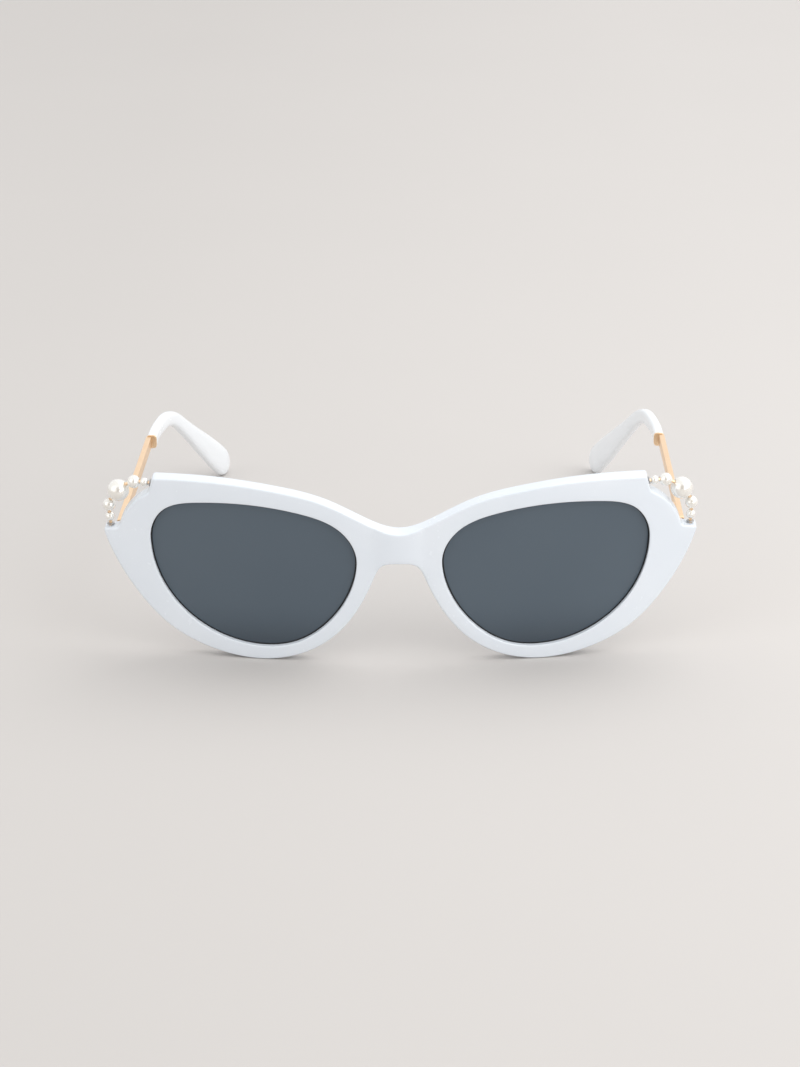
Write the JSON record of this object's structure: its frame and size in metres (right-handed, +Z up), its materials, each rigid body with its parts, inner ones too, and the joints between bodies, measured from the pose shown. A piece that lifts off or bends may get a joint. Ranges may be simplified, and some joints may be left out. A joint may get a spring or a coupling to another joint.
{
  "type": "cat eye sunglasses",
  "caption": "Cat eye sunglasses with a wrapped white front, grey lenses, pearl bead corners on a gold wire, and gold arms with white hooked tips that fold in on screwed hinges.",
  "frame": {"origin": "middle of the footprint of the open glasses, on the surface that the rims and arm tips stand on", "axes": "+X towards the wearer's left, across the front; +Y back along the arms; +Z up"},
  "size_m": [0.145, 0.1484, 0.0471],
  "materials": {
    "white_front": "polished white injection-moulded plastic",
    "white_tip": "glossy white moulded plastic",
    "grey_lens": "smooth dark grey-blue tinted plastic lens",
    "gold": "polished light gold plate",
    "steel_screw": "small machined screw",
    "pearl": "pearl lacquer on a plastic bead"
  },
  "bodies": {
    "front": {"front_frame": "white_front", "upper_small_pearl_left": "pearl", "upper_medium_pearl_left": "pearl", "large_pearl_left": "pearl", "lower_medium_pearl_left": "pearl", "lower_small_pearl_left": "pearl", "pearl_wire_left": "gold", "upper_wire_cap_left": "steel_screw", "lower_wire_cap_left": "steel_screw", "lens_left": "grey_lens", "front_hinge_left": "gold", "hinge_screw_left": "steel_screw", "upper_small_pearl_right": "pearl", "upper_medium_pearl_right": "pearl", "large_pearl_right": "pearl", "lower_medium_pearl_right": "pearl", "lower_small_pearl_right": "pearl", "pearl_wire_right": "gold", "upper_wire_cap_right": "steel_screw", "lower_wire_cap_right": "steel_screw", "lens_right": "grey_lens", "front_hinge_right": "gold", "hinge_screw_right": "steel_screw"},
    "left_arm": {"arm_hinge_left": "gold", "arm_bar_left": "gold", "arm_collar_left": "gold", "arm_tip_left": "white_tip"},
    "right_arm": {"arm_hinge_right": "gold", "arm_bar_right": "gold", "arm_collar_right": "gold", "arm_tip_right": "white_tip"}
  },
  "joints": [
    {"name": "left_arm_fold", "type": "hinge", "parent": "front", "child": "left_arm", "pos_m": [0.0664, -0.0554, 0.0314], "axis": [0, 0, 1], "range_deg": [0, 85]},
    {"name": "right_arm_fold", "type": "hinge", "parent": "front", "child": "right_arm", "pos_m": [-0.0664, -0.0554, 0.0314], "axis": [0, 0, -1], "range_deg": [0, 77]}
  ]
}
